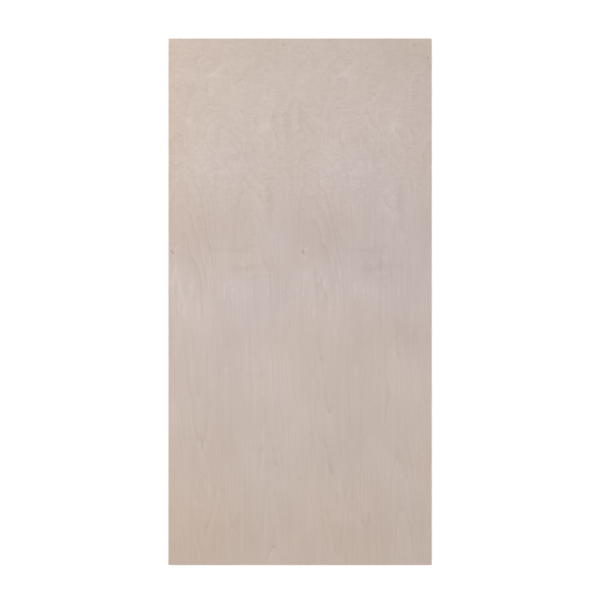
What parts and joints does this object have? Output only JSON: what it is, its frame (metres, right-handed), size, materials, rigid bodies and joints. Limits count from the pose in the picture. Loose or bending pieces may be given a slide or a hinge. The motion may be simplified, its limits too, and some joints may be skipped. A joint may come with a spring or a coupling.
{
  "type": "plywood sheet",
  "caption": "Flat rectangular plywood sheet with a sanded pale birch face veneer, square-sawn edges and grain along its length, for panelling, flooring and furniture.",
  "frame": {"origin": "centre of the back face, where the sheet rests", "axes": "+Z out of the face veneer, +Y along the sheet's length and its face grain, +X across its width"},
  "size_m": [1.22, 2.44, 0.018],
  "materials": {
    "birch_veneer": "sanded, unfinished rotary-cut birch veneer; crosswise plies show on the sawn edges"
  },
  "bodies": {
    "root": {"plywood_sheet": "birch_veneer"}
  },
  "joints": []
}
